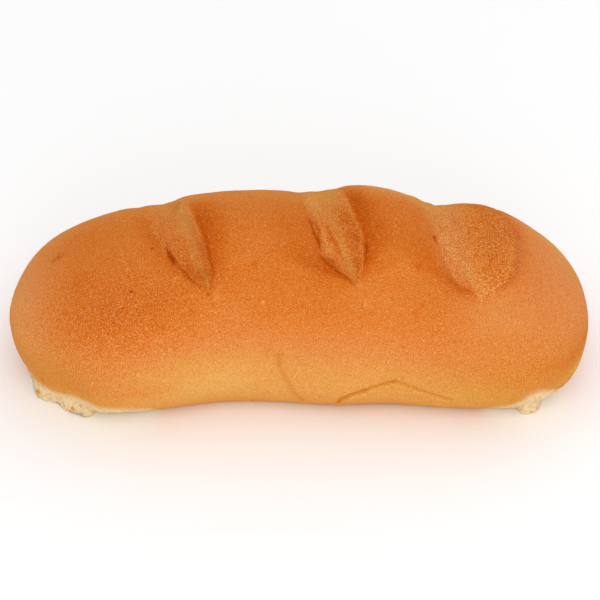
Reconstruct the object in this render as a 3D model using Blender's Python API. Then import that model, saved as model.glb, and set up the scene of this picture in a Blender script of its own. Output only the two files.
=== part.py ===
"""A soft oven-baked bread roll, long and rounded, with three slanted slashes across its top.

Metres, +Z up. The roll lies along X and rests on a flat base at Z = 0. Its front, at -Y, is the
side where each slash runs out to a point and where the crumb shows in two torn spots near the base.
"""

import bmesh
import bpy
import numpy as np

MM = 0.001

# The whole roll
LENGTH = 170.0 * MM
BACK_REACH = 37.5 * MM  # from the middle line to the back, at the widest level
FRONT_REACH = 31.0 * MM  # the same to the front, at the waist
WIDEST_LEVEL = 18.6 * MM  # height at which a cross section is widest
CROWN_RISE = 28.2 * MM  # from the widest level up to the crown, at the shoulders
UNDER_DROP = 26.0 * MM  # from the widest level down to the round underside, which the base cuts off
BOW = 2.5 * MM  # how far the middle line arches back from the ends to the middle

# How the sizes above shrink to nothing at the two ends: (1 - |along|^fullness)^(1 / roundness)
PLAN_TAPER = (5.4, 2.13)
CROWN_TAPER = (3.6, 1.59)
UNDER_TAPER = (8.8, 1.9)

# The crown swells over the middle of the roll and rises a little from left to right, "tilt". The
# front bulges near both ends, is drawn in left of its middle and puffs out a little right of it. A
# place or a width along the roll is a share of half its length.
SWELL = {"share": 0.18, "at": 0.01, "width": 0.40, "tilt": 0.01}
FRONT_BULGES = (
    {"reach": 7.3 * MM, "at": -0.65, "width": 0.25},
    {"reach": -0.9 * MM, "at": -0.22, "width": 0.11},
    {"reach": 1.3 * MM, "at": 0.16, "width": 0.11},
    {"reach": 7.5 * MM, "at": 0.98, "width": 0.52},
)

# Each slash runs from a point at the front, "tip", over the crown to "tail", and opens to a leaf
# shape in between. Its profile goes across it from left to right: distance from its middle line,
# as a share of its half width, and height in millimetres above the unslashed crown. It deepens
# over the share "entry" of its run and fades over the share "exit".
SLASHES = (
    {
        "tip": (-25.7 * MM, -23.4 * MM),
        "tail": (-43.5 * MM, 33.8 * MM),
        "bow": -2.7 * MM,
        "half_width": 5.3 * MM,
        "leaf": 0.42,
        "entry": 0.16,
        "exit": 0.36,
        "profile": (
            (-2.6, 0.0), (-1.6, -0.1), (-1.0, -0.3), (-0.5, -1.2), (0.0, -2.1), (0.5, -2.6),
            (0.85, -1.3), (1.12, 0.2), (1.5, 0.9), (2.7, 0.6), (4.4, 0.0),
        ),
    },
    {
        "tip": (16.6 * MM, -22.9 * MM),
        "tail": (5.0 * MM, 33.8 * MM),
        "bow": -2.6 * MM,
        "half_width": 6.6 * MM,
        "leaf": 0.42,
        "entry": 0.16,
        "exit": 0.34,
        "profile": (
            (-3.6, 0.0), (-1.9, -1.6), (-1.1, -2.0), (-0.75, -2.2), (-0.35, -2.4), (0.0, -2.8),
            (0.35, -1.9), (0.65, -0.9), (0.9, -0.1), (1.15, 0.7), (1.5, 1.3), (2.3, 1.6),
            (3.3, 1.5), (5.4, 0.0),
        ),
    },
    {
        "tip": (51.3 * MM, -24.2 * MM),
        "tail": (47.0 * MM, 38.0 * MM),
        "bow": 1.1 * MM,
        "half_width": 12.2 * MM,
        "leaf": 0.6,
        "entry": 0.15,
        "exit": 0.15,
        "profile": (
            (-2.6, 0.0), (-1.8, 0.3), (-1.35, 0.0), (-1.05, -0.9), (-0.85, -1.9), (-0.6, -1.4),
            (-0.25, 0.0), (0.2, 0.9), (0.55, 1.3), (0.85, 0.9), (1.0, 0.5), (1.25, 0.9),
            (1.55, 0.6), (2.1, 0.0),
        ),
    },
)
SLASH_LEVEL = 8.0 * MM  # a slash reaches full depth this far above the widest level

# Torn spots low on the front, where the roll was pulled off its neighbour on the tray: the crumb
# hangs down from the crust as a small steep foot. "share" is how far out it stands, of the reach at
# the widest level. A foot is ragged along its foot line.
TORN_FEET = (
    {"at": -65.2 * MM, "half_width": 9.4 * MM, "share": 0.835},
    {"at": -70.0 * MM, "half_width": 13.0 * MM, "share": 0.75},
    {"at": -75.5 * MM, "half_width": 5.0 * MM, "share": 0.80},
    {"at": 67.1 * MM, "half_width": 5.7 * MM, "share": 0.80},
)
RAG_LENGTH = 2.1 * MM
RAG_SHARE = 0.02

# The net of faces: rings round the roll, and on each side of it rows along the crown, down to the
# widest level, along the flank, down to the rim of the base, and along the base to its middle
LONG_FACES = 112
CROWN_FACES = 15
FLANK_FACES = 6
BASE_FACES = 3
END_CROWDING = 6.0  # the lower, the more the rings crowd towards the ends
NARROWEST_BASE = 0.25  # turn, in radians, that the base rows keep where the ends lift off
LEAN_LEFT = {"slant": -0.30, "at": -0.4}  # the rings lean with the left slash, as x to y
LEAN_RIGHT = {"slant": -0.05, "at": 0.6}  # and with the right one

CRUST_COLOUR = (0.62, 0.21, 0.055, 1.0)
CRUST_ROUGHNESS = 0.62


def clear_scene():
    """Remove every object that the scene holds."""
    for item in list(bpy.data.objects):
        bpy.data.objects.remove(item, do_unlink=True)


def ease(value):
    """A smooth step: 0 below 0, 1 above 1, and 3v^2 - 2v^3 in between."""
    value = np.clip(value, 0.0, 1.0)
    return value * value * (3.0 - 2.0 * value)


def smooth_through(points, at):
    """A smooth curve through points, with no overshoot: cubic pieces whose slope at a point is the
    harmonic mean of its neighbours' slopes, and flat at a peak, a dip or an end."""
    places, heights = np.array(points, dtype=float).T
    steps = np.diff(places)
    slopes = np.diff(heights) / steps
    product = np.maximum(slopes[:-1] * slopes[1:], 0.0)
    total = slopes[:-1] + slopes[1:]
    inner = 2.0 * product / np.where(product > 0.0, total, 1.0)
    bend = np.concatenate([[0.0], inner, [0.0]])
    piece = np.clip(np.searchsorted(places, at) - 1, 0, len(steps) - 1)
    share = np.clip((at - places[piece]) / steps[piece], 0.0, 1.0)
    rise = heights[piece] + (heights[piece + 1] - heights[piece]) * ease(share)
    leave = bend[piece] * share * (1.0 - share) ** 2
    arrive = bend[piece + 1] * share ** 2 * (1.0 - share)
    return rise + steps[piece] * (leave - arrive)


def taper(along, fullness_and_roundness):
    """Share of a size that is left at a place along the roll, from 1 at the middle to 0 at an end."""
    fullness, roundness = fullness_and_roundness
    left = np.clip(1.0 - np.abs(along) ** fullness, 0.0, 1.0)
    return left ** (1.0 / roundness)


def bulge(along, at, width, power=2.0):
    """A bump of height 1 at a place along the roll."""
    return np.exp(-np.abs((along - at) / width) ** power)


def rim_turn(along):
    """The turn at which the underside meets the base, or a little short of straight down where
    the ends lift off it."""
    drop = UNDER_DROP * np.maximum(taper(along, UNDER_TAPER), 1e-6)
    return np.minimum(np.arccos(np.clip(-WIDEST_LEVEL / drop, -1.0, 0.0)), np.pi - NARROWEST_BASE)


def torn_stretch(along, turn):
    """How much wider the torn feet make a low front point: they stand straight down from the place
    where the plain underside is as wide as the foot, and the base follows them evenly."""
    x = along * LENGTH / 2.0
    rag = 1.0 + RAG_SHARE * np.sin(2.0 * np.pi * x / RAG_LENGTH) * np.sin(1.7 * x / RAG_LENGTH)
    foot = rag * np.max([f["share"] * bulge(x, f["at"], f["half_width"], 4.0) for f in TORN_FEET], axis=0)
    plain = np.sin(np.minimum(np.abs(turn), rim_turn(along)))
    low_front = (turn < -np.pi / 2.0)
    return np.where(low_front, np.maximum(1.0, foot / np.maximum(plain, 1e-6)), 1.0)


def plain_roll(along, turn):
    """The roll without its slashes: along is -1 to 1, turn is 0 on top and a quarter turn at the back.

    A section is half an ellipse above its widest level and half of another one below it. The lower
    one runs on below the base, which cuts it off later.
    """
    sideways = np.sin(turn)
    upwards = np.cos(turn)
    front = FRONT_REACH + sum(b["reach"] * bulge(along, b["at"], b["width"]) for b in FRONT_BULGES)
    front = front * torn_stretch(along, turn)
    reach = np.where(sideways < 0.0, front, BACK_REACH) * taper(along, PLAN_TAPER)
    swell = SWELL["share"] * bulge(along, SWELL["at"], SWELL["width"], 4.0) + SWELL["tilt"] * along
    rise = CROWN_RISE * (1.0 + swell) * taper(along, CROWN_TAPER)
    drop = UNDER_DROP * taper(along, UNDER_TAPER)
    height = WIDEST_LEVEL + np.where(upwards > 0.0, rise, drop) * upwards
    across = reach * sideways - BOW * along ** 2
    return np.array([along * LENGTH / 2.0, across, height])


def slash_relief(x, y, slash):
    """Height of a slash above the plain crown: its profile, stretched to the leaf's width there."""
    (tip_x, tip_y), (tail_x, tail_y) = slash["tip"], slash["tail"]
    run = (y - tip_y) / (tail_y - tip_y)
    inside = np.clip(run, 0.0, 1.0)
    middle = tip_x + (tail_x - tip_x) * inside + slash["bow"] * np.sin(np.pi * inside)
    width = slash["half_width"] * np.maximum(4.0 * inside * (1.0 - inside), 1e-4) ** slash["leaf"]
    depth = ease(run / slash["entry"]) * ease((1.0 - run) / slash["exit"])
    return smooth_through(slash["profile"], (x - middle) / width) * MM * depth


def outward(along, turn):
    """Unit vectors that point out of the plain roll, from the slopes of its surface."""
    step = 1e-4
    inner = np.clip(along, -1.0 + 2.0 * step, 1.0 - 2.0 * step)
    lengthways = plain_roll(inner + step, turn) - plain_roll(inner - step, turn)
    roundwise = plain_roll(inner, turn + step) - plain_roll(inner, turn - step)
    normal = np.cross(lengthways, roundwise, axis=0)
    return normal / np.maximum(np.linalg.norm(normal, axis=0), 1e-15)


def roll_surface(along, turn):
    """The finished roll: the plain one with its slashes along its normals, and its flat base."""
    points = plain_roll(along, turn)
    x, y, z = points
    high = ease((z - WIDEST_LEVEL) / SLASH_LEVEL)
    relief = high * sum(slash_relief(x, y, slash) for slash in SLASHES)
    x, y, z = points + outward(along, turn) * relief
    return np.array([x, y, np.maximum(z, 0.0)])


def spread_rows(along, rows):
    """Turn from the top, for a count of rows from it: even steps over crown, flank and base."""
    quarter = np.pi / 2.0
    rim = rim_turn(along)
    crown = np.clip(rows / CROWN_FACES, 0.0, 1.0) * quarter
    flank = np.clip((rows - CROWN_FACES) / FLANK_FACES, 0.0, 1.0) * (rim - quarter)
    base = np.clip((rows - CROWN_FACES - FLANK_FACES) / BASE_FACES, 0.0, 1.0) * (np.pi - rim)
    return crown + flank + base


def spread_net(ball):
    """Turn the points of a unit ball, its axis along Z, into places along and round the roll."""
    share = 1.0 - 2.0 * np.arccos(np.clip(ball[2], -1.0, 1.0)) / np.pi
    along = share * (1.0 + (1.0 - np.abs(share) ** END_CROWDING) / END_CROWDING)
    angle = np.arctan2(ball[0], ball[1])
    rows = np.abs(angle) / np.pi * (CROWN_FACES + FLANK_FACES + BASE_FACES)
    turn = np.sign(angle) * spread_rows(along, rows)
    between = ease((along - LEAN_LEFT["at"]) / (LEAN_RIGHT["at"] - LEAN_LEFT["at"]))
    slant = LEAN_LEFT["slant"] + (LEAN_RIGHT["slant"] - LEAN_LEFT["slant"]) * between
    shift = slant * BACK_REACH * np.sin(turn) / (LENGTH / 2.0)
    return along + shift * (1.0 - along ** 2), turn


def centred(points):
    """Move the points so that the box round them is centred on X = 0 and Y = 0, base at Z = 0."""
    lowest = points.min(axis=1)
    highest = points.max(axis=1)
    middle = (lowest + highest) / 2.0
    return points - np.array([[middle[0]], [middle[1]], [lowest[2]]])


def crust_material():
    """Browned crust of a soft roll."""
    material = bpy.data.materials.new("golden_crust")
    material.use_nodes = True
    shader = material.node_tree.nodes["Principled BSDF"]
    shader.inputs["Base Color"].default_value = CRUST_COLOUR
    shader.inputs["Roughness"].default_value = CRUST_ROUGHNESS
    shader.inputs["Metallic"].default_value = 0.0
    return material


def make_roll(collection):
    """The roll is one piece: a ball whose points are moved onto the roll's surface."""
    shape = bmesh.new()
    round_faces = 2 * (CROWN_FACES + FLANK_FACES + BASE_FACES)
    bmesh.ops.create_uvsphere(shape, u_segments=round_faces, v_segments=LONG_FACES, radius=1.0)
    mesh = bpy.data.meshes.new("steak_roll")
    shape.to_mesh(mesh)
    shape.free()
    flat = np.empty(len(mesh.vertices) * 3)
    mesh.vertices.foreach_get("co", flat)
    points = centred(roll_surface(*spread_net(flat.reshape(-1, 3).T)))
    mesh.vertices.foreach_set("co", points.T.ravel())
    mesh.shade_smooth()
    mesh.materials.append(crust_material())
    mesh.update()
    roll = bpy.data.objects.new("steak_roll", mesh)
    collection.objects.link(roll)
    return roll


def main():
    clear_scene()
    collection = bpy.data.collections.new("steak_roll_bread")
    bpy.context.scene.collection.children.link(collection)
    roll = make_roll(collection)
    size = ", ".join(f"{1000.0 * side:.1f}" for side in roll.dimensions)
    print(f"roll: {size} mm, {len(roll.data.polygons)} faces")


main()
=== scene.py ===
# %% [markdown]
# # A steak roll, baked golden
#
# A soft white roll about 170 mm long: proved, slashed three times across its crown, and baked close
# to its neighbours on a tray. This lesson gives the imported solid of the roll its looks. Everything
# is in metres, in the frame of that solid: X runs along the roll, -Y is its front, and it rests on
# Z = 0. The first cell loads the frame.

# %% Load the frame
import itertools
import math

import bpy
import numpy as np
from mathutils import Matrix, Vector


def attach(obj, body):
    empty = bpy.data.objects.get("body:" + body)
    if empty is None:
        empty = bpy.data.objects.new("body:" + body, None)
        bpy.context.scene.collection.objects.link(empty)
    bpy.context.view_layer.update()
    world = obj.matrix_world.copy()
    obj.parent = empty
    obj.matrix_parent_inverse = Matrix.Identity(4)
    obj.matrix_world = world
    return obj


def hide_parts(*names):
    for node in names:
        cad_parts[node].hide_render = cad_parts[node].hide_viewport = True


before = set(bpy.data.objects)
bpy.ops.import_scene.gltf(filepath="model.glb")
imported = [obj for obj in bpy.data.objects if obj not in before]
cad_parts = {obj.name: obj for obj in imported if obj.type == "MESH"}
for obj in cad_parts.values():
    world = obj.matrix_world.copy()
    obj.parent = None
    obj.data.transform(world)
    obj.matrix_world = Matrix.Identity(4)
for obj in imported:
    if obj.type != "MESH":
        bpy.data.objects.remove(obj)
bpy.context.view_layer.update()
MM = 0.001

# %% [markdown]
# ## The shape of the dough
#
# The roll is one closed surface, so it can be written as a function of two parameters: a place
# along the roll from -1 to 1, and a turn round it, 0 on the crown and a quarter turn at the back.
# A sculpted mesh could look as good, but a formula can be sampled as finely as the looks need, and
# it keeps the form of the solid. These are the sizes that the solid was built from.

# %% Sizes of the roll
LENGTH = 170.0 * MM
BACK_REACH = 37.5 * MM  # from the middle line to the back, at the widest level
FRONT_REACH = 31.0 * MM  # the same to the front, at the waist
WIDEST_LEVEL = 18.6 * MM
CROWN_RISE = 28.2 * MM
UNDER_DROP = 26.0 * MM
BOW = 2.5 * MM
PLAN_TAPER = (5.4, 2.13)  # fullness and roundness of the ends, seen from above
CROWN_TAPER = (3.6, 1.59)
UNDER_TAPER = (8.8, 1.9)
SWELL = {"share": 0.18, "at": 0.01, "width": 0.40, "tilt": 0.01}
FRONT_BULGES = (
    {"reach": 7.3 * MM, "at": -0.65, "width": 0.25},
    {"reach": -0.9 * MM, "at": -0.22, "width": 0.11},
    {"reach": 1.3 * MM, "at": 0.16, "width": 0.11},
    {"reach": 7.5 * MM, "at": 0.98, "width": 0.52},
)
TORN_FEET = (
    {"at": -65.2 * MM, "half_width": 9.4 * MM, "share": 0.835},
    {"at": -70.0 * MM, "half_width": 13.0 * MM, "share": 0.75},
    {"at": -75.5 * MM, "half_width": 5.0 * MM, "share": 0.80},
    {"at": 67.1 * MM, "half_width": 5.7 * MM, "share": 0.80},
)
RAG_LENGTH = 2.1 * MM
RAG_WAVES = (2.0 * np.pi, 1.7)  # radians of each of the rag's two waves in its length
RAG_SHARE = 0.007  # the solid has 0.02; here the crumb's own relief makes up the rest
NARROWEST_BASE = 0.25
CENTRING = 0.14 * MM  # the solid was moved this far to the back, to centre its box
TINY = 1e-6  # keeps a division from being by zero
SHORTEST_NORMAL = 1e-15  # does the same for normals, which are small before they are scaled


# %% The plain roll
def ease(value):
    """A smooth step: 0 below 0, 1 above 1, and 3v^2 - 2v^3 in between."""
    value = np.clip(value, 0.0, 1.0)
    return value * value * (3.0 - 2.0 * value)


def taper(along, fullness_and_roundness):
    """Share of a size left at a place along the roll: (1 - |along|^fullness)^(1 / roundness)."""
    fullness, roundness = fullness_and_roundness
    left = np.clip(1.0 - np.abs(along) ** fullness, 0.0, 1.0)
    return left ** (1.0 / roundness)


def bulge(value, at, width, power=2.0):
    """A bump of height 1: e to the minus |distance / width|^power."""
    return np.exp(-np.abs((value - at) / width) ** power)


def rim_turn(along):
    """The turn at which the underside meets the flat base: arccos(-widest level / drop)."""
    drop = UNDER_DROP * np.maximum(taper(along, UNDER_TAPER), TINY)
    return np.minimum(np.arccos(np.clip(-WIDEST_LEVEL / drop, -1.0, 0.0)), np.pi - NARROWEST_BASE)


def torn_stretch(along, turn):
    """How much wider the torn feet make a low front point, so that they stand straight down."""
    x = along * LENGTH / 2.0
    long_wave, short_wave = [np.sin(wave * x / RAG_LENGTH) for wave in RAG_WAVES]
    feet = [f["share"] * bulge(x, f["at"], f["half_width"], power=4.0) for f in TORN_FEET]
    foot = (1.0 + RAG_SHARE * long_wave * short_wave) * np.max(feet, axis=0)
    plain = np.sin(np.minimum(np.abs(turn), rim_turn(along)))
    return np.where(turn < -np.pi / 2.0, np.maximum(1.0, foot / np.maximum(plain, TINY)), 1.0)


def plain_roll(along, turn):
    """Half an ellipse above the widest level and half of another below it, both shrinking towards
    the ends: across = reach * sin(turn), height = widest level + rise or drop * cos(turn)."""
    sideways = np.sin(turn)
    upwards = np.cos(turn)
    front = FRONT_REACH + sum(b["reach"] * bulge(along, b["at"], b["width"]) for b in FRONT_BULGES)
    front = front * torn_stretch(along, turn)
    reach = np.where(sideways < 0.0, front, BACK_REACH) * taper(along, PLAN_TAPER)
    swell = SWELL["share"] * bulge(along, SWELL["at"], SWELL["width"], power=4.0) + SWELL["tilt"] * along
    rise = CROWN_RISE * (1.0 + swell) * taper(along, CROWN_TAPER)
    drop = UNDER_DROP * taper(along, UNDER_TAPER)
    height = WIDEST_LEVEL + np.where(upwards > 0.0, rise, drop) * upwards
    across = reach * sideways - BOW * along ** 2
    return np.array([along * LENGTH / 2.0, across, height])


def outward(along, turn):
    """Unit normals: the cross product of the surface's slopes along and round the roll."""
    step = 1e-4
    inner = np.clip(along, -1.0 + 2.0 * step, 1.0 - 2.0 * step)
    lengthways = plain_roll(inner + step, turn) - plain_roll(inner - step, turn)
    roundwise = plain_roll(inner, turn + step) - plain_roll(inner, turn - step)
    normal = np.cross(lengthways, roundwise, axis=0)
    return normal / np.maximum(np.linalg.norm(normal, axis=0), SHORTEST_NORMAL)


print("plain roll, mm high in the middle:", (1000.0 * plain_roll(0.0, 0.0)[2]).round(1))

# %% [markdown]
# ## The net of points
#
# A mesh needs the surface sampled on a grid. Rings run round the roll and rows run along it. The
# crown and the front carry the fine detail, so they get more rows than the back and the base, and
# the rings crowd towards the ends, where the surface turns fastest. The rings lean with the
# slashes, so that a slash's walls run along the net and not across it.

# %% Make the net
RINGS = 338
ROWS = {
    "front_base": 7, "front_flank": 44, "front_crown": 108,
    "back_crown": 96, "back_flank": 27, "back_base": 7,
}
END_CROWDING = 9.0
LEAN_LEFT = {"slant": -0.30, "at": -0.4}
LEAN_RIGHT = {"slant": -0.05, "at": 0.6}
QUARTER = np.pi / 2.0


def stretch_turns(along, rows):
    """Turn for each row: even steps over base, flank and crown, from under the roll round the
    front, over the top and down the back."""
    rim = rim_turn(along)
    level = np.zeros_like(rim)
    knots = [level - np.pi, -rim, level - QUARTER, level, level + QUARTER, rim, level + np.pi]
    starts = np.cumsum([0] + list(ROWS.values()))
    turn = knots[0]
    for first, count, low, high in zip(starts, ROWS.values(), knots, knots[1:]):
        turn = turn + np.clip((rows - first) / count, 0.0, 1.0) * (high - low)
    return turn


def make_net():
    """(along, turn) on a grid of rings by rows, without the two end points."""
    share = np.linspace(-1.0, 1.0, RINGS + 2)[1:-1, None]
    rows = np.arange(sum(ROWS.values()))[None, :]
    along = share * (1.0 + (1.0 - np.abs(share) ** END_CROWDING) / END_CROWDING)
    turn = stretch_turns(along, rows)
    between = ease((along - LEAN_LEFT["at"]) / (LEAN_RIGHT["at"] - LEAN_LEFT["at"]))
    slant = LEAN_LEFT["slant"] + (LEAN_RIGHT["slant"] - LEAN_LEFT["slant"]) * between
    shift = slant * BACK_REACH * np.sin(turn) / (LENGTH / 2.0)
    return along + shift * (1.0 - along ** 2), turn


along, turn = make_net()
dough = plain_roll(along, turn)
normals = outward(along, turn)
print("net:", along.shape, "points")

# %% [markdown]
# ## Random bumps that repeat each time
#
# Crust is uneven at every scale, from the swell of a gas bubble under it to wrinkles finer than a
# millimetre. Lattice noise gives that: random values on a cubic lattice, blended smoothly between
# its corners. It is seeded, so each run gives the same roll. Later cells name their kinds of bumps,
# each with the size of the largest ones, their height and a seed.

# %% Lattice noise
LATTICE = 32


def lattice_noise(points, size, seed):
    """Smooth noise from -1 to 1: each point blends the random values at the eight corners of its
    cell of the lattice, weighted by an eased share along each axis. Size may differ by axis."""
    values = np.random.default_rng(seed).uniform(-1.0, 1.0, (LATTICE, LATTICE, LATTICE))
    size = np.broadcast_to(np.asarray(size, dtype=float), (len(points),))
    place = points / size.reshape((-1,) + (1,) * (points.ndim - 1))
    cell = np.floor(place).astype(int)
    share = ease(place - cell)
    total = 0.0
    for corner in itertools.product((0, 1), repeat=3):
        sides = [share[axis] if corner[axis] else 1.0 - share[axis] for axis in range(3)]
        index = [(cell[axis] + corner[axis]) % LATTICE for axis in range(3)]
        total = total + sides[0] * sides[1] * sides[2] * values[index[0], index[1], index[2]]
    return total


def layered_noise(points, size, seed, layers=3):
    """Noise of several sizes, each half as large and half as strong as the one before."""
    shares = [0.5 ** layer for layer in range(layers)]
    parts = [share * lattice_noise(points, share * np.asarray(size), seed + layer)
             for layer, share in enumerate(shares)]
    return sum(parts) / sum(shares)


def bumps(points, kind, layers=3):
    """Height of one kind of bumps: its height times layered noise of its size and seed."""
    return kind["height"] * layered_noise(points, kind["size"], kind["seed"], layers)


print("noise, range:", np.ptp(layered_noise(dough, 12.0 * MM, 1)).round(2))

# %% [markdown]
# ## The slashes
#
# A baker's cut opens in the oven into a leaf: pointed at the front, where the knife went in, and
# fading over the crown. The dough inside rises later than the crust beside it, so it is smoother,
# paler and streaked along the cut. Each leaf has coordinates of its own: "run", 0 at the tip and 1
# at the tail, and "across", measured from its middle line in half widths. The relief is a profile
# over "across", the same as on the solid, and the finer streaks and torn edges follow.

# %% Slash sizes
SLASHES = (
    {"tip": (-25.7 * MM, -23.4 * MM), "tail": (-43.5 * MM, 33.8 * MM), "bow": -2.7 * MM,
     "half_width": 5.3 * MM, "leaf": 0.42, "entry": 0.16, "exit": 0.36,
     "profile": ((-2.6, 0.0), (-1.6, -0.1), (-1.0, -0.3), (-0.5, -1.2), (0.0, -2.1), (0.5, -2.6),
                 (0.85, -1.3), (1.12, 0.2), (1.5, 0.9), (2.7, 0.6), (4.4, 0.0))},
    {"tip": (16.6 * MM, -22.9 * MM), "tail": (5.0 * MM, 33.8 * MM), "bow": -2.6 * MM,
     "half_width": 6.6 * MM, "leaf": 0.42, "entry": 0.16, "exit": 0.34,
     "profile": ((-3.6, 0.0), (-1.9, -1.6), (-1.1, -2.0), (-0.75, -2.2), (-0.35, -2.4), (0.0, -2.8),
                 (0.35, -1.9), (0.65, -0.9), (0.9, -0.1), (1.15, 0.7), (1.5, 1.3), (2.3, 1.6),
                 (3.3, 1.5), (5.4, 0.0))},
    {"tip": (51.3 * MM, -24.2 * MM), "tail": (47.0 * MM, 38.0 * MM), "bow": 1.1 * MM,
     "half_width": 12.2 * MM, "leaf": 0.6, "entry": 0.15, "exit": 0.15,
     "profile": ((-2.6, 0.0), (-1.8, 0.3), (-1.35, 0.0), (-1.05, -0.9), (-0.85, -1.9), (-0.6, -1.4),
                 (-0.25, 0.0), (0.2, 0.9), (0.55, 1.3), (0.85, 0.9), (1.0, 0.5), (1.25, 0.9),
                 (1.55, 0.6), (2.1, 0.0))},
)
SLASH_LEVEL = 8.0 * MM  # height above the widest level over which the slashes come in
NARROWEST_LEAF = 1e-4  # least share of (4 * run * (1 - run)) that a leaf's width is worked out from


# %% Cut the slashes
def smooth_through(points, at):
    """A smooth curve through points, with no overshoot: cubic pieces whose slope at a point is the
    harmonic mean of its neighbours' slopes, and flat at a peak, a dip or an end."""
    places, heights = np.array(points, dtype=float).T
    steps = np.diff(places)
    slopes = np.diff(heights) / steps
    product = np.maximum(slopes[:-1] * slopes[1:], 0.0)
    total = slopes[:-1] + slopes[1:]
    inner = 2.0 * product / np.where(product > 0.0, total, 1.0)
    bend = np.concatenate([[0.0], inner, [0.0]])
    piece = np.clip(np.searchsorted(places, at) - 1, 0, len(steps) - 1)
    share = np.clip((at - places[piece]) / steps[piece], 0.0, 1.0)
    rise = heights[piece] + (heights[piece + 1] - heights[piece]) * ease(share)
    leave = bend[piece] * share * (1.0 - share) ** 2
    arrive = bend[piece + 1] * share ** 2 * (1.0 - share)
    return rise + steps[piece] * (leave - arrive)


def leaf_coordinates(points, slash):
    """(run, across, width) of a slash's leaf: run is the share of the way from tip to tail in Y,
    and across is the distance in X from its bowed middle line, in half widths of the leaf there."""
    (tip_x, tip_y), (tail_x, tail_y) = slash["tip"], slash["tail"]
    run = (points[1] - tip_y) / (tail_y - tip_y)
    inside = np.clip(run, 0.0, 1.0)
    middle = tip_x + (tail_x - tip_x) * inside + slash["bow"] * np.sin(np.pi * inside)
    width = slash["half_width"] * np.maximum(4.0 * inside * (1.0 - inside), NARROWEST_LEAF) ** slash["leaf"]
    return run, (points[0] - middle) / width, width


def slash_depth(run, slash):
    """Share of full depth along a slash: it deepens from the tip and fades towards the tail."""
    return ease(run / slash["entry"]) * ease((1.0 - run) / slash["exit"])


high = ease((dough[2] - WIDEST_LEVEL) / SLASH_LEVEL)
leaves = [leaf_coordinates(dough, slash) for slash in SLASHES]
relief = np.zeros_like(turn)
for slash, (run, across, _) in zip(SLASHES, leaves):
    relief += high * slash_depth(run, slash) * smooth_through(slash["profile"], across) * MM
print("slashes, mm:", (1000.0 * relief.min()).round(2), "to", (1000.0 * relief.max()).round(2))

# %% [markdown]
# ## The torn edges of the leaves
#
# A leaf's edges aren't its half widths: the crust tore where it was weakest. Each edge is a curve
# of "across" over "run", and so is the pale floor, the last dough to come up. From them every
# point gets a place in its leaf: -1 on the left edge, 0 on the middle line and 1 on the right edge.
# Tones and streaks that follow this place keep their sharp borders wherever the edges wander. Each
# row also says how olive the leaf and its floor are, and how much of its mound blistered.

# %% Leaf edges
EDGES = (
    {"left": ((0.0, -0.1), (0.05, -0.8), (0.09, -1.05), (0.16, -1.28), (0.24, -1.24), (0.33, -1.12),
              (0.43, -1.13), (0.7, -1.2)),
     "right": ((0.0, 0.25), (0.03, 0.73), (0.08, 1.08), (0.14, 1.08), (0.19, 1.08), (0.28, 1.18),
               (0.38, 1.19), (0.52, 1.25), (0.9, 1.4)),
     "floor": ((0.0, 0.3), (0.04, 0.26), (0.08, 0.33), (0.13, 0.2), (0.17, 0.12), (0.26, 0.24),
               (0.34, 0.39), (0.45, 0.59), (0.58, 0.8)),
     "floor_half_width": 0.28, "olive": 0.03, "blisters": 0.4,
     "floor_shown": ((0.0, 0.7), (0.1, 0.6), (0.2, 0.6), (0.35, 0.4), (0.5, 0.15))},
    {"left": ((0.0, -0.2), (0.04, -0.45), (0.07, -0.9), (0.11, -1.22), (0.16, -1.36), (0.23, -1.13),
              (0.34, -1.03), (0.41, -0.92), (0.55, -0.9), (0.75, -0.85)),
     "right": ((0.0, 0.1), (0.03, 0.35), (0.08, 0.84), (0.12, 0.99), (0.17, 1.08), (0.23, 1.17),
               (0.30, 1.18), (0.37, 1.1), (0.42, 0.99), (0.55, 0.99), (0.8, 1.0)),
     "floor": ((0.0, 0.1), (0.06, 0.06), (0.16, 0.04), (0.26, 0.05), (0.39, 0.13), (0.49, 0.25),
               (0.59, 0.37)),
     "floor_half_width": 0.26, "olive": 0.08, "blisters": 0.5,
     "floor_shown": ((0.0, 0.5), (0.1, 0.45), (0.3, 0.35), (0.5, 0.4))},
    {"left": ((0.0, -0.1), (0.03, -0.15), (0.06, -0.5), (0.11, -0.84), (0.18, -0.97), (0.24, -1.0),
              (0.36, -0.91), (0.52, -0.93), (0.68, -1.0)),
     "right": ((0.0, 0.3), (0.05, 0.75), (0.09, 1.02), (0.12, 1.08), (0.19, 1.13), (0.25, 1.08),
               (0.31, 1.05), (0.38, 1.04), (0.51, 1.05), (0.66, 0.98), (0.8, 0.95)),
     "floor": ((0.0, 0.0), (0.1, -0.2), (0.25, -0.32), (0.5, -0.42), (0.7, -0.5)),
     "floor_half_width": 0.22, "olive": 0.0, "blisters": 1.0,
     "floor_shown": ((0.0, 0.15), (0.3, 0.05))},
)
SOFT_EDGE = 0.12  # in places
LEAF_ENDS = {"from": 0.03, "fading": 0.6, "to": 0.95}  # runs between which a leaf shows


def edge_place(run, across, edges):
    """Place in the leaf: across over the left edge's or the right edge's own distance."""
    left = -smooth_through(edges["left"], run)
    right = smooth_through(edges["right"], run)
    return across / np.where(across < 0.0, left, right)


def inside_leaf(run, place):
    """1 inside the leaf's edges and 0 outside them, eased across each edge and at both ends."""
    fade = (LEAF_ENDS["to"] - run) / (LEAF_ENDS["to"] - LEAF_ENDS["fading"])
    return ease((1.0 - np.abs(place)) / SOFT_EDGE + 0.5) * ease(run / LEAF_ENDS["from"]) * ease(fade)


places = [edge_place(run, across, edges) for edges, (run, across, _) in zip(EDGES, leaves)]
masks = [high * inside_leaf(leaf[0], place) for leaf, place in zip(leaves, places)]
print("points in the leaves:", [int((mask > 0.5).sum()) for mask in masks])

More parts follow.
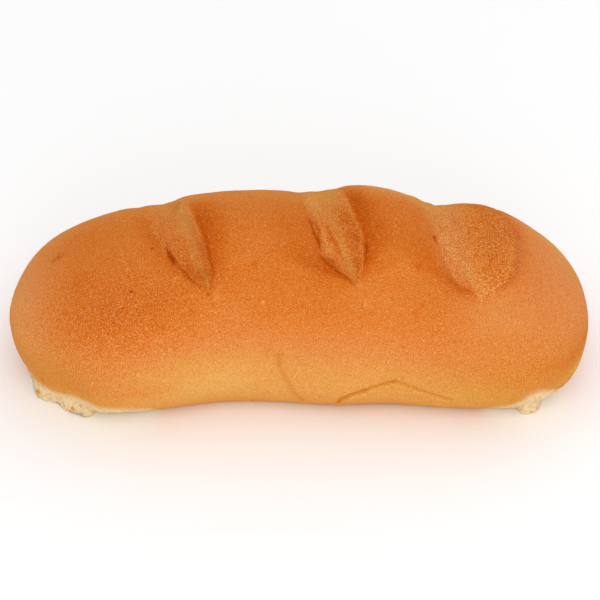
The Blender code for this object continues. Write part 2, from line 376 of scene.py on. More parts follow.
# %% [markdown]
# ## Streaks
#
# As the cut opened, the soft dough inside was drawn out into fine ridges that run along the leaf
# and close up towards its tip, where the dough is smooth. Noise over the place in the leaf, squeezed
# across it and stretched along it, gives the coarse ones here. The same coordinates go to the
# material for the fine ones. The mound of a slash, on its right side, blistered in the heat instead
# and turned golden, and along the left edges the skin frayed into fibres. Each of these is a share
# from 0 to 1 at every point, which the material reads too.

# %% Streaks and blisters
STREAKS = {"size": 1.2 * MM, "stretch": 3.5, "height": 0.16 * MM, "seed": 40}
BLISTERS = {"size": 1.3 * MM, "height": 0.20 * MM, "seed": 51}
BULGE_BLISTERS = (-0.62, -0.80, 0.34, 0.50)  # along, turn, and reach along and round
BULGE_SHARE = 0.55
MOUND = {"from": -0.35, "rise": 0.3}  # places over which the blistered side of a leaf comes in
UNDRAWN = 0.7  # share of the streaks that a mound takes away
FRAYED = {"at": -0.88, "reach": 0.34, "from": 0.1, "fading": 0.35, "to": 0.6}
DRAWN_FROM = 0.15  # run from which the streaks show in full: nearer the tip the dough is smooth
LEAF_STEP = 0.1  # metres between the leaves' own grids, so that no two show the same noise
GRID_REACH = 1.7  # how far out, in places, a leaf's grid goes on beyond its edges


def soft_spot(row):
    """1 at the row's place along and round the roll, fading over its reach along each."""
    at_along, at_turn, reach_along, reach_turn = row[:4]
    return bulge(along, at_along, reach_along) * bulge(turn, at_turn, reach_turn)


streaks, drawn, opened, golden, frayed = np.zeros((5,) + turn.shape)
blistered = BULGE_SHARE * soft_spot(BULGE_BLISTERS)
leaf_grid = np.zeros((3,) + turn.shape)
for number, (slash, edges, place, mask) in enumerate(zip(SLASHES, EDGES, places, masks)):
    run = leaves[number][0]
    lengthways = dough[1] / STREAKS["stretch"]
    grid = np.array([place * slash["half_width"], lengthways, np.full_like(turn, number * LEAF_STEP)])
    near = (np.abs(place) < GRID_REACH) & (np.abs(run - 0.5) < 0.5)
    leaf_grid = np.where(near, grid, leaf_grid)
    streaks = streaks + mask * layered_noise(grid, STREAKS["size"], STREAKS["seed"] + number, 2)
    off_tip = ease(run / DRAWN_FROM)
    mound = mask * ease((place - MOUND["from"]) / MOUND["rise"]) * edges["blisters"]
    blistered = np.maximum(blistered, mound)
    drawn = np.maximum(drawn, (mask - UNDRAWN * mound) * off_tip)
    opened = np.maximum(opened, mask * edges["blisters"] * off_tip)
    golden = np.maximum(golden, mound * edges["blisters"] * off_tip)
    fading = ease((FRAYED["to"] - run) / (FRAYED["to"] - FRAYED["fading"])) * ease(run / FRAYED["from"])
    frayed = np.maximum(frayed, high * fading * bulge(place, FRAYED["at"], FRAYED["reach"], power=3.0))
opened = np.maximum(opened, blistered)
relief += STREAKS["height"] * streaks + blistered * bumps(dough, BLISTERS)
print("streaks, mm:", (1000.0 * STREAKS["height"] * np.abs(streaks).max()).round(2))

# %% [markdown]
# ## Tears
#
# Along the edges the crust cracked as it stretched. A tear is a narrow groove along a path in the
# leaf's own coordinates, wobbled by noise, so that it follows the cut wherever that bends. A row
# with a negative depth is a drawn-out ridge. Shade is how much darker the tear shows: partly the
# crust browned along the crack, and partly painted shade of a groove that is cut shallower than it
# looks. Ridges have a shade below 0 and show paler. The darkest tears are open cracks. All other
# skin is sound, and only sound skin shows pale grain, streaks and fibres.

# %% Tears
# Slash, half width and depth in millimetres, shade, and the path as (run, across).
TEARS = (
    (0, 0.5, 0.12, 0.42, ((0.15, -1.34), (0.18, -1.32), (0.21, -1.3), (0.25, -1.25))),
    (0, 0.35, 0.10, 0.28, ((0.17, -1.08), (0.2, -1.1), (0.24, -1.14), (0.28, -1.18))),
    (0, 0.45, 0.05, 0.25, ((0.03, -0.55), (0.06, -0.85), (0.085, -1.02), (0.11, -1.12), (0.15, -1.25))),
    (0, 0.45, -0.3, -0.20, ((0.08, -0.75), (0.13, -0.95), (0.2, -0.95), (0.3, -0.98), (0.4, -1.03))),
    (0, 0.40, -0.2, -0.22, ((0.24, -1.42), (0.32, -1.22), (0.42, -1.16), (0.5, -1.18))),
    (0, 0.45, 0.06, 0.16, ((0.04, 0.9), (0.08, 1.1), (0.14, 1.1), (0.28, 1.2), (0.38, 1.22), (0.46, 1.24))),
    (0, 0.40, -0.2, -0.15, ((0.1, 0.86), (0.16, 0.88), (0.28, 0.98), (0.38, 1.02), (0.5, 1.08))),
    (1, 0.45, 0.10, 0.28, ((0.2, -1.17), (0.23, -1.12), (0.29, -1.06), (0.37, -0.98), (0.44, -0.92))),
    (1, 0.40, 0.08, 0.24, ((0.22, -0.95), (0.3, -0.84), (0.35, -0.8), (0.42, -0.75))),
    (1, 0.35, 0.15, 0.20, ((0.17, -0.27), (0.25, -0.26), (0.32, -0.31), (0.40, -0.33))),
    (1, 0.55, 0.05, 0.20, ((0.01, -0.3), (0.04, -0.5), (0.07, -0.93), (0.11, -1.25), (0.16, -1.38))),
    (1, 0.45, 0.05, 0.18, ((0.07, 0.8), (0.12, 1.0), (0.17, 1.1), (0.26, 1.2), (0.33, 1.18), (0.4, 1.05))),
    (1, 0.50, -0.3, -0.25, ((0.38, 0.98), (0.44, 0.9), (0.5, 0.9), (0.6, 0.9))),
    (1, 0.40, -0.2, -0.22, ((0.05, 0.4), (0.08, 0.7), (0.11, 0.85), (0.15, 0.92), (0.2, 1.0))),
    (1, 0.60, -0.35, -0.16, ((0.14, -1.1), (0.2, -0.95), (0.26, -0.92), (0.33, -0.92), (0.42, -0.82))),
    (1, 0.50, -0.3, -0.14, ((0.16, -0.75), (0.24, -0.68), (0.33, -0.6), (0.42, -0.56))),
    (2, 0.40, 0.10, 0.28, ((0.03, -0.02), (0.045, -0.25), (0.06, -0.45), (0.085, -0.65))),
    (2, 0.55, 0.20, 0.40, ((0.31, -0.99), (0.33, -1.0), (0.37, -0.95))),
    (2, 0.35, 0.10, 0.22, ((0.18, -0.25), (0.22, -0.33), (0.27, -0.46))),
    (2, 0.35, 0.10, 0.26, ((0.43, -0.66), (0.47, -0.74), (0.51, -0.85))),
    (2, 0.50, 0.3, 0.05, ((0.1, 1.05), (0.19, 1.15), (0.3, 1.07), (0.4, 1.06), (0.52, 1.07), (0.66, 1.0))),
    (2, 0.50, -0.25, -0.12, ((0.12, 0.95), (0.22, 0.98), (0.3, 0.96), (0.38, 0.95), (0.5, 0.96))),
)
TEAR_WOBBLE = {"size": 1.5 * MM, "height": 0.35 * MM, "seed": 60}
TEAR_ENDS = {"steepness": 4.0, "left": 0.3}  # how fast a tear fades at its ends, and what it keeps there
CRACKED_SHADE = (0.08, 0.34)  # shades between which a tear turns from a groove to an open crack


def tear(points, leaf, path, half_width, seed):
    """Share of a tear's depth at each point: a bump over the distance from its path across the
    leaf, shifted by noise, that fades at both ends of the path."""
    run, across, width = leaf
    first, last = path[0][0], path[-1][0]
    wobble = TEAR_WOBBLE["height"] * lattice_noise(points, TEAR_WOBBLE["size"], seed)
    distance = (across - smooth_through(path, run)) * width + wobble
    travelled = (run - first) / (last - first)
    way_to_end = np.minimum(travelled, 1.0 - travelled)
    return bulge(distance, 0.0, half_width) * ease(TEAR_ENDS["steepness"] * way_to_end + TEAR_ENDS["left"])


torn_edges, tear_shade = np.zeros((2,) + turn.shape)
for seed, (number, half_width, depth, shade, path) in enumerate(TEARS, TEAR_WOBBLE["seed"]):
    share = high * tear(dough, leaves[number], path, half_width * MM, seed)
    relief -= depth * MM * share
    # The shade darkens the tear through the browning: painted shade of its groove, with some browning of the
    # crust along the crack.
    tear_shade += shade * share
    cracked = ease((shade - CRACKED_SHADE[0]) / np.ptp(CRACKED_SHADE))
    torn_edges = np.maximum(torn_edges, share * cracked)
sound = 1.0 - torn_edges
print("tears:", len(TEARS))

# %% [markdown]
# ## Folds, a dent and the uneven skin
#
# Where the proving dough sank against the tray it folded low on the front, and the baked skin kept
# the creases. They are soft grooves along short paths on the front, measured in X and Z, each with a
# low lip under it. The deeper a crease is, the more painted shade the material lays in it, and the
# lip under it is painted paler, a painted highlight. A short slit near the left end is a dent,
# darkened with painted shade, and over the whole roll the skin also swells and wrinkles a little.

# %% Folds
FOLDS = (
    {"half_width": 0.9 * MM, "depth": 0.30 * MM,
     "path": ((-5.9, 24.5), (-5.3, 21.0), (-4.3, 17.7), (-2.2, 12.6), (1.0, 5.1))},
    {"half_width": 0.7 * MM, "depth": 0.60 * MM,
     "path": ((11.2, 4.6), (12.4, 8.2), (15.3, 10.7), (18.6, 12.5))},
    {"half_width": 0.65 * MM, "depth": 0.45 * MM,
     "path": ((18.6, 12.5), (21.9, 14.4), (25.2, 15.8), (27.5, 16.7))},
    {"half_width": 0.6 * MM, "depth": 0.35 * MM,
     "path": ((27.5, 16.7), (30.3, 15.8), (32.2, 14.8), (34.6, 13.5), (39.0, 11.6), (44.0, 9.5))},
)
# The lip's tone makes it paler: a painted highlight where it bulges out under the crease.
FOLD_LIP = {"below": 1.7 * MM, "half_width": 1.4 * MM, "height": 0.28 * MM, "tone": 0.10}
FULL_FOLD = 0.5 * MM  # depth of a fold with the whole of the folds' shade
FRONT_FROM = 0.4  # turn in front of the crown's middle from which the front counts in full


def path_distance(x, z, path):
    """Distance in X and Z from a path of straight stretches, given in millimetres."""
    ends = np.array(path) * MM
    nearest = np.full_like(x, np.inf)
    for (x0, z0), (x1, z1) in zip(ends, ends[1:]):
        length = (x1 - x0) ** 2 + (z1 - z0) ** 2
        share = np.clip(((x - x0) * (x1 - x0) + (z - z0) * (z1 - z0)) / length, 0.0, 1.0)
        nearest = np.minimum(nearest, np.hypot(x - x0 - share * (x1 - x0), z - z0 - share * (z1 - z0)))
    return nearest


front = ease(-turn / FRONT_FROM)
fold_shade = np.zeros_like(turn)
for fold in FOLDS:
    share = front * bulge(path_distance(dough[0], dough[2], fold["path"]), 0.0, fold["half_width"])
    below = path_distance(dough[0], dough[2] + FOLD_LIP["below"], fold["path"])
    lip = front * bulge(below, 0.0, FOLD_LIP["half_width"]) * fold["depth"] / FULL_FOLD
    relief += FOLD_LIP["height"] * lip - fold["depth"] * share
    fold_shade = fold_shade + share * fold["depth"] / FULL_FOLD - FOLD_LIP["tone"] * lip
print("folds:", len(FOLDS))

# %% Dents and wrinkles
SLIT_DENT = {"at": (-70.1 * MM, -0.5 * MM), "half_size": (1.6 * MM, 0.6 * MM), "depth": 0.5 * MM}
SWELLS = {"size": 14.0 * MM, "height": 0.16 * MM, "seed": 3}
WRINKLES = {"size": 2.4 * MM, "height": 0.05 * MM, "seed": 7}
ABOVE_BASE = 3.0 * MM  # height over which they come in, so that the base stays flat

dent = bulge(dough[0], SLIT_DENT["at"][0], SLIT_DENT["half_size"][0])
dent = dent * bulge(dough[1], SLIT_DENT["at"][1], SLIT_DENT["half_size"][1]) * high
uneven_skin = ease(dough[2] / ABOVE_BASE) * (bumps(dough, SWELLS) + bumps(dough, WRINKLES))
relief += uneven_skin - SLIT_DENT["depth"] * dent
print("swells and wrinkles, mm:", (1000.0 * np.ptp(uneven_skin)).round(2))

# %% [markdown]
# ## Uneven sides
#
# A roll that was shaped by hand isn't as even as a formula. Seen against the light, its crown and
# its lower front stray from the smooth curve by up to about a millimetre, in slow swells and hollows.
# Each row is one of them: its middle in X, its reach and its height, in millimetres.

# %% Uneven sides
CROWN_SWELLS = (
    (-84.0, 5.0, -0.35), (-61.0, 12.0, -0.42), (-47.5, 2.6, -0.45), (-37.3, 2.7, -0.60),
    (-14.0, 7.0, -0.33), (0.0, 2.8, -0.45), (11.3, 2.3, -0.35), (20.0, 4.5, 0.15),
    (29.0, 3.8, -0.33), (37.0, 2.0, -0.65), (41.8, 2.6, 0.62), (58.6, 2.6, 0.45),
)
CROWN_EDGE_TURN = {"at": 0.75, "width": 0.42}
LOWER_SWELLS = (
    (-78.5, 5.0, -0.50), (-65.5, 5.2, -1.1), (-57.5, 3.2, 0.5), (4.5, 6.0, 0.33),
    (24.5, 8.0, -0.22), (62.0, 3.5, 0.35), (71.5, 1.6, 0.3), (79.0, 4.5, 0.35),
)
LOWER_EDGE_TURN = {"from": -1.5, "to": -1.9}


def swells(x, rows):
    """Height of a row of swells at each X: the sum of one bump for each."""
    return sum(height * MM * bulge(x, at * MM, reach * MM) for at, reach, height in rows)


crown_edge = swells(dough[0], CROWN_SWELLS)
relief += crown_edge * bulge(turn, CROWN_EDGE_TURN["at"], CROWN_EDGE_TURN["width"], power=3.0)
under = ease((turn - LOWER_EDGE_TURN["from"]) / (LOWER_EDGE_TURN["to"] - LOWER_EDGE_TURN["from"])) * front
rim = rim_turn(along)
on_base = ease(2.0 * (np.abs(turn) - rim) / (np.pi - rim))  # the base stays flat under them
relief += swells(dough[0], LOWER_SWELLS) * under * (1.0 - on_base)
print("uneven sides, mm:", np.ptp(1000.0 * crown_edge).round(2))

# %% [markdown]
# ## Torn crumb
#
# Low on the front, near both ends, the roll was pulled off its neighbour. There the crust is gone
# and the soft crumb shows: nearly white, with small bubbles and a ragged lower edge. The crust ends
# at a level that wanders along the roll, so a mask compares each point's height with it, on the
# front side alone.

# %% Torn patches
# Levels as (X, height) in millimetres.
TORN_PATCHES = (
    {"soft": 4.6 * MM,
     "level": ((-84.0, -1.0), (-78.5, 5.0), (-72.0, 6.5), (-66.0, 8.0), (-60.0, 9.6), (-54.0, 8.2),
               (-48.0, 7.0), (-43.0, 5.0), (-38.0, -2.0))},
    {"soft": 4.8 * MM,
     "level": ((50.0, -3.0), (55.0, 3.0), (60.0, 6.0), (64.0, 9.0), (68.0, 12.0), (71.0, 12.0),
               (74.5, 8.5), (78.0, 3.0), (81.0, -3.0))},
)
LEVEL_WANDER = {"size": 3.0 * MM, "height": 1.1 * MM, "seed": 21}
CRUMB_LUMPS = {"size": 2.4 * MM, "height": 0.10 * MM, "seed": 23}
CRUMB_PORES = {"size": 0.8 * MM, "height": 0.14 * MM, "seed": 27}
LUMPS_SINK = 0.5  # share of their height by which the lumps lie below the crust
OFF_FLOOR = 1.2 * MM  # height over which lumps and pores come in
CRUMB_SIDE = {"from": -6.0 * MM, "to": -13.0 * MM}  # Y over which the crumb comes in on the front

crumb = np.zeros_like(turn)
torn_side = ease((CRUMB_SIDE["from"] - dough[1]) / (CRUMB_SIDE["from"] - CRUMB_SIDE["to"]))
for patch in TORN_PATCHES:
    level = smooth_through(patch["level"], dough[0] / MM) * MM
    level = level + bumps(dough, LEVEL_WANDER)
    crumb = np.maximum(crumb, ease((level - dough[2]) / patch["soft"] + 0.5) * torn_side)
lumps = bumps(dough, CRUMB_LUMPS) - LUMPS_SINK * CRUMB_LUMPS["height"]
pores = np.maximum(0.0, bumps(dough, CRUMB_PORES, layers=1))
relief += crumb * ease(dough[2] / OFF_FLOOR) * (lumps - pores)
print("torn crumb covers", (100.0 * (crumb > 0.5).mean()).round(2), "% of the net")

# %% [markdown]
# ## How brown each place is
#
# The oven browned what stood highest and left the low sides pale. One number per point, from 0 for
# the palest crust to about 1.2 for the darkest, says how brown the skin is, and the material turns it
# into colour; later cells add painted shade to the same number in the tears, folds and dent. It
# starts from a curve over the turn round the roll, takes its own tone near the two ends, and then
# adds browner or paler places and slow random change. Two more numbers say where a painted sheen
# lies over the brown, pale on the rims where the skin turns away, and where the crust is tan.

# %% Browning of the crust
TURN_TONE = (
    (-2.6, 0.22), (-1.9, 0.22), (-1.72, 0.24), (-1.55, 0.29), (-1.41, 0.39), (-1.27, 0.50),
    (-1.13, 0.60), (-0.99, 0.66), (-0.85, 0.68), (-0.57, 0.69), (-0.30, 0.69), (0.0, 0.65),
    (0.15, 0.615), (0.30, 0.54), (0.45, 0.44), (0.7, 0.42), (1.2, 0.42), (1.55, 0.36), (2.6, 0.32),
)
END_TONES = (
    {"at": -1.0, "width": 0.14, "tone": 0.38},
    {"at": 1.0, "width": 0.24, "tone": 0.56},
)
# A place is (along, turn, reach along, reach round), and a tone above 0 at the end makes it browner.
TONE_PLACES = (
    (-0.72, -1.62, 0.16, 0.32, 0.22), (-0.85, -1.80, 0.12, 0.18, 0.08),
    (-0.60, -0.80, 0.28, 0.30, 0.13), (-0.10, -0.68, 0.26, 0.12, 0.05),
    (-0.75, -0.40, 0.06, 0.14, 0.08), (-0.24, -0.96, 0.08, 0.12, -0.07),
    (0.08, -0.68, 0.08, 0.13, 0.07), (0.96, -1.88, 0.09, 0.18, -0.36),
    (-0.52, -1.68, 0.09, 0.10, 0.10), (0.62, -1.00, 0.14, 0.16, -0.05),
    (-0.28, -1.68, 0.13, 0.30, -0.08), (-0.35, -1.38, 0.20, 0.12, -0.05),
    (-0.72, 0.35, 0.18, 0.28, 0.10), (0.05, -0.93, 0.22, 0.14, 0.04),
    (0.24, -0.85, 0.09, 0.10, -0.08), (0.26, -0.20, 0.05, 0.13, -0.08),
    (-0.05, -0.22, 0.07, 0.15, -0.04), (0.37, -0.10, 0.07, 0.45, -0.05),
    (-0.88, -1.45, 0.10, 0.14, 0.05), (0.30, 0.50, 0.12, 0.16, -0.08),
    (0.54, -0.60, 0.07, 0.10, 0.20), (0.68, -0.78, 0.12, 0.20, -0.16),
    (0.72, -1.50, 0.28, 0.26, 0.18), (0.95, -1.25, 0.10, 0.30, 0.08),
    (0.80, -0.25, 0.20, 0.35, 0.05), (0.85, 0.50, 0.20, 0.22, -0.03),
)
PAINTED_SHEEN_PLACES = (  # where a painted sheen lies over the brown: pale rims of the ends and the crown's edge
    (-1.0, -0.2, 0.14, 2.0), (1.0, 0.3, 0.34, 1.7), (0.32, 0.60, 0.14, 0.25),
)
TANNED_PLACES = (  # low on the front, beside the feet, where the crust is tan and not orange
    (-0.86, -1.65, 0.22, 0.45), (0.78, -1.60, 0.30, 0.50),
)
SLOW_TONE = {"size": 13.0 * MM, "height": 0.04, "seed": 31}  # its height is a tone

browning = smooth_through(TURN_TONE, turn)
for end in END_TONES:
    browning = browning + (end["tone"] - browning) * bulge(along, end["at"], end["width"])
for row in TONE_PLACES:
    browning = browning + row[-1] * soft_spot(row)
# Painted sheen: paler, pinker colour on the rims of the ends and the crown's edge.
painted_sheen = np.max([soft_spot(row) for row in PAINTED_SHEEN_PLACES], axis=0)
tanned = np.max([soft_spot(row) for row in TANNED_PLACES], axis=0)
browning = browning + bumps(dough, SLOW_TONE)
print("browning:", browning.min().round(2), "to", browning.max().round(2))

# %% [markdown]
# ## Tones of the slashes
#
# Each slash has its own tones: the crust beside its right edge stood up into the heat and is the
# darkest of all, and the floor came up last and is the palest. They are soft bands that run the
# length of the leaf. A band has a middle, a place in the leaf that may change along the run, a
# reach to its left and to its right, and a tone that rises and fades along the run. Last comes
# the share of olive of the stretched dough, most on the floors.

# %% Slash tones
# The slash, what the band is, its middle as a place or as points (run, place), its reaches, and its
# tone as points (run, tone).
LEAF_BANDS = (
    (0, "right shoulder", 1.15, (0.23, 1.0),
     ((0.03, 0.06), (0.12, 0.24), (0.3, 0.32), (0.4, 0.36), (0.55, 0.26), (0.7, 0.0))),
    (0, "left lip", -1.05, (0.55, 0.25),
     ((0.03, 0.2), (0.1, 0.18), (0.2, 0.18), (0.35, 0.28), (0.5, 0.16), (0.7, 0.08))),
    (0, "left furrow", -0.8, (0.13, 0.11),
     ((0.04, 0.04), (0.13, 0.24), (0.3, 0.22), (0.45, 0.05))),
    (0, "left wall", -0.45, (0.35, 0.45),
     ((0.05, 0.15), (0.12, 0.25), (0.2, 0.17), (0.3, 0.13), (0.45, 0.0))),
    (0, "floor", ((0.0, 0.25), (0.17, 0.12), (0.26, 0.2), (0.34, 0.35), (0.45, 0.5), (0.58, 0.62)),
     (0.38, 0.33),
     ((0.05, 0.18), (0.2, -0.05), (0.3, -0.09), (0.45, -0.24), (0.6, -0.28), (0.75, 0.0))),
    (0, "right wall", 0.7, (0.28, 0.28),
     ((0.03, 0.18), (0.12, 0.13), (0.23, 0.17), (0.35, 0.03), (0.5, -0.04), (0.7, 0.0))),
    (1, "right shoulder", ((0.0, 0.95), (0.1, 0.97), (0.17, 1.03), (0.25, 1.15), (1.0, 1.17)), (0.19, 0.82),
     ((0.03, 0.10), (0.12, 0.28), (0.2, 0.33), (0.36, 0.34), (0.6, 0.44), (0.75, 0.3))),
    (1, "front of the right shoulder", 2.3, (0.7, 0.7),
     ((0.0, 0.10), (0.08, 0.10), (0.18, 0.0))),
    (1, "left shoulder", -1.7, (1.1, 0.5),
     ((0.0, 0.30), (0.1, 0.23), (0.2, 0.17), (0.35, 0.14), (0.5, 0.06))),
    (1, "left lip", -1.02, (0.3, 0.17),
     ((0.03, 0.26), (0.1, 0.33), (0.2, 0.26), (0.38, 0.22), (0.5, 0.08))),
    (1, "left furrow", -0.78, (0.16, 0.17),
     ((0.06, 0.02), (0.15, 0.24), (0.24, 0.09), (0.33, 0.18), (0.44, 0.15), (0.55, 0.0))),
    (1, "tail", -0.1, (0.9, 0.8),
     ((0.48, 0.0), (0.62, -0.08), (0.75, -0.10))),
    (1, "left wall", -0.62, (0.2, 0.2),
     ((0.03, 0.18), (0.13, 0.12), (0.22, -0.04), (0.33, 0.04), (0.44, -0.12), (0.7, -0.1))),
    (1, "ridge", -0.27, (0.15, 0.15),
     ((0.1, 0.06), (0.2, 0.12), (0.32, 0.17), (0.4, -0.06), (0.55, -0.15), (0.7, -0.06))),
    (1, "floor", ((0.0, 0.0), (0.3, 0.04), (0.45, 0.1), (0.6, 0.3)), (0.16, 0.16),
     ((0.03, 0.0), (0.1, -0.08), (0.36, -0.12), (0.6, -0.12), (0.75, -0.08))),
    (1, "right wall", 0.62, (0.32, 0.32),
     ((0.03, 0.18), (0.14, 0.22), (0.25, 0.26), (0.36, 0.28), (0.45, 0.2), (0.6, 0.04))),
    (2, "left shoulder", -1.7, (1.0, 0.66),
     ((0.0, 0.02), (0.07, 0.05), (0.13, 0.18), (0.35, 0.11), (0.5, 0.08), (0.64, -0.06))),
    (2, "pale step", ((0.03, 0.1), (0.08, -0.02), (0.15, -0.3), (0.25, -0.5), (0.4, -0.7), (0.55, -0.85)),
     (0.36, 0.42),
     ((0.0, -0.12), (0.08, -0.32), (0.15, -0.24), (0.4, -0.18), (0.55, -0.12), (0.7, -0.06))),
    (2, "mound", 0.55, (0.55, 0.38),
     ((0.1, 0.06), (0.25, 0.1), (0.36, 0.15), (0.48, 0.18), (0.6, 0.36), (0.75, 0.40))),
    (2, "tip", 0.7, (0.5, 0.4),
     ((0.0, -0.12), (0.05, -0.12), (0.09, 0.0))),
    (2, "right edge", 1.07, (0.11, 0.18),
     ((0.05, 0.0), (0.12, 0.14), (0.3, 0.18), (0.48, 0.22), (0.6, 0.26), (0.75, 0.2))),
    (2, "top right", 0.88, (0.17, 0.13),
     ((0.38, 0.0), (0.48, 0.20), (0.6, 0.20), (0.75, 0.0))),
    (2, "right side", 2.4, (0.75, 1.4),
     ((0.05, 0.0), (0.12, -0.03), (0.3, -0.07), (0.45, -0.10), (0.55, -0.22), (0.64, -0.30), (0.76, 0.0))),
)
TIP_FADE = 0.05  # run from which the bands show in full
TAIL_FADE = (0.66, 0.92)


def band_tone(run, place, middle, reaches, tone):
    """Tone of a band: its tone at this run, times a bump over the distance from its middle, which
    is as wide on each side as the band's reach there."""
    if isinstance(middle, tuple):
        middle = smooth_through(middle, run)
    return smooth_through(tone, run) * bulge(place, middle, np.where(place < middle, *reaches))


shown = [high * ease(run / TIP_FADE) * ease((TAIL_FADE[1] - run) / np.ptp(TAIL_FADE)) for run, _, _ in leaves]
for number, _, *band in LEAF_BANDS:
    browning = browning + shown[number] * band_tone(leaves[number][0], places[number], *band)
stretched = np.zeros_like(turn)
for edges, mask, visible, (run, across, _) in zip(EDGES, masks, shown, leaves):
    floor = bulge(across, smooth_through(edges["floor"], run), edges["floor_half_width"], power=4.0)
    floor = visible * smooth_through(edges["floor_shown"], run) * floor
    stretched = np.maximum(stretched, np.maximum(edges["olive"] * mask, floor))
print("browning with slashes:", browning.min().round(2), "to", browning.max().round(2))

# %% [markdown]
# ## Marks
#
# No two rolls brown alike: here a blister burst, there a drop of dough or a fleck of flour stuck.
# These marks are small and few, but without them the crust looks machine made. Each is a soft
# round spot about a point of the dough. The tones of the tears, streaks, folds and dent come last.

# %% Marks
# Centre along and round the roll, radius in millimetres, and shade: below 0 it is paler than the crust.
MARKS = (
    (-0.561, -0.58, 0.30, 1.3), (-0.838, 0.03, 1.4, 0.15), (-0.820, 0.07, 1.4, 0.18),
    (-0.106, -1.34, 1.3, 0.10), (-0.300, -0.79, 0.5, 0.5), (-0.293, -0.84, 0.35, 0.3),
    (-0.286, -0.89, 0.45, 0.35), (-0.276, -0.83, 1.5, -0.12), (0.205, -0.71, 0.8, -0.18),
    (-0.497, -0.18, 0.5, 0.4), (-0.153, -0.58, 1.0, 0.14), (-0.120, -0.91, 0.4, -0.7),
    (-0.576, -0.35, 0.4, -0.6), (-0.431, -1.22, 0.4, -0.5), (-0.421, -1.22, 0.8, 0.15),
    (-0.663, -1.12, 0.6, 0.15), (-0.349, -0.92, 1.2, 0.12), (-0.450, -1.00, 1.4, 0.10),
    (-0.536, -1.43, 0.4, -0.5), (0.396, -0.48, 1.1, 0.16), (0.390, -0.92, 1.0, 0.15),
    (0.889, -0.24, 0.8, 0.15), (0.639, -0.24, 1.2, 0.12), (0.629, 0.09, 0.6, -0.35),
    (-0.876, -1.93, 0.7, 0.6),
)
STREAK_TONE = 0.12
# Share of painted shade that a fold adds to the browning; its lip gets a painted highlight the same way.
FOLD_TONE = 0.06
# Painted shade in the dent, over the same mask as its depth.
DENT_TONE = 0.15
GRAIN_FADE = (0.88, 1.18)  # browning over which the crust stops being sound: the darkest has no grain

for at_along, at_turn, radius, shade in MARKS:
    centre = plain_roll(np.float64(at_along), np.float64(at_turn))[:, None, None]
    browning = browning + shade * bulge(np.linalg.norm(dough - centre, axis=0), 0.0, radius * MM)
# Tears, folds and the dent add painted shade to the browning here, the tears with some real browning too.
browning = browning + tear_shade - STREAK_TONE * streaks + FOLD_TONE * fold_shade + DENT_TONE * dent
sound = sound * ease((GRAIN_FADE[1] - browning) / np.ptp(GRAIN_FADE))
print("browning with marks:", browning.min().round(2), "to", browning.max().round(2))

# %% [markdown]
# ## The roll as a mesh
#
# The relief is laid on the dough along its normals, and what would reach below the tray is pressed
# flat on it. from_pydata takes the finished arrays: quads between neighbouring rings and rows, and
# a fan of triangles to the one point at each end, so that the mesh is closed. The tones go with it
# as attributes, one number for each point, and so do the leaves' own coordinates.

# %% Lay the skin
skin = dough + normals * relief
skin[2] = np.maximum(skin[2], 0.0)
skin[1] += CENTRING


def closed_mesh(name, points, ends):
    """A closed mesh of a (3, rings, rows) grid of points, its rows joined round and a fan of
    triangles to each of the two end points."""
    rings, rows = points.shape[1:]
    start = np.arange(rings - 1)[:, None] * rows
    row = np.arange(rows)[None, :]
    after = (row + 1) % rows
    corners = [start + row, start + rows + row, start + rows + after, start + after]
    quads = np.stack(corners, axis=-1).reshape(-1, 4)
    last_ring = (rings - 1) * rows
    low_fan = np.stack([np.full(rows, rings * rows), row[0], after[0]], axis=-1)
    high_fan = np.stack([np.full(rows, rings * rows + 1), last_ring + after[0], last_ring + row[0]], axis=-1)
    places = np.concatenate([points.reshape(3, -1).T, ends])
    mesh = bpy.data.meshes.new(name)
    mesh.from_pydata(places, [], quads.tolist() + low_fan.tolist() + high_fan.tolist())
    mesh.shade_smooth()
    return mesh


def add_tone(mesh, name, values):
    """Store one number a point, with the mean of the nearest ring at each of the two end points."""
    layer = mesh.attributes.new(name, "FLOAT", "POINT")
    layer.data.foreach_set("value", np.concatenate([values.ravel(), [values[0].mean(), values[-1].mean()]]))


def put_in_scene(name, data):
    """An object for a mesh, a lamp or a camera, linked to the scene."""
    made = bpy.data.objects.new(name, data)
    bpy.context.scene.collection.objects.link(made)
    return made


end_points = np.array([[side * LENGTH / 2.0, CENTRING - BOW, WIDEST_LEVEL] for side in (-1.0, 1.0)])
roll = put_in_scene("baked_roll", closed_mesh("baked_roll", skin, end_points))
TONES = {
    "browning": browning, "painted_sheen": painted_sheen, "tanned": tanned, "golden": golden, "stretched": stretched,
    "sound": sound, "drawn": drawn * sound, "opened": opened * sound, "frayed": frayed * sound,
    "blistered": blistered, "torn": torn_edges, "creased": np.clip(fold_shade, 0.0, 1.0), "crumb": crumb,
}
for name, values in TONES.items():
    add_tone(roll.data, name, values)
grid_layer = roll.data.attributes.new("leaf_grid", "FLOAT_VECTOR", "POINT")
grid_layer.data.foreach_set("vector", np.append(leaf_grid.reshape(3, -1).T.ravel(), np.zeros(6)))
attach(roll, "root")
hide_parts("steak_roll")
print("baked_roll:", len(roll.data.vertices), "points,", len(roll.data.polygons), "faces")

# %% [markdown]
# ## Helpers for materials
#
# A material is a small net of shader nodes. A few helpers keep it readable: one turns an sRGB hex
# value, as a colour picker gives it, into the linear numbers that Blender works with, one adds a
# node with its settings, values and links, and three use it for the nodes that come most often.


# %% Colour and node helpers
def linear(hex_colour, alpha=1.0):
    """sRGB hex to linear: c / 12.92 up to 0.04045, else ((c + 0.055) / 1.055)^2.4."""
    parts = [int(hex_colour[place:place + 2], 16) / 255.0 for place in (1, 3, 5)]
    return tuple(c / 12.92 if c <= 0.04045 else ((c + 0.055) / 1.055) ** 2.4 for c in parts) + (alpha,)


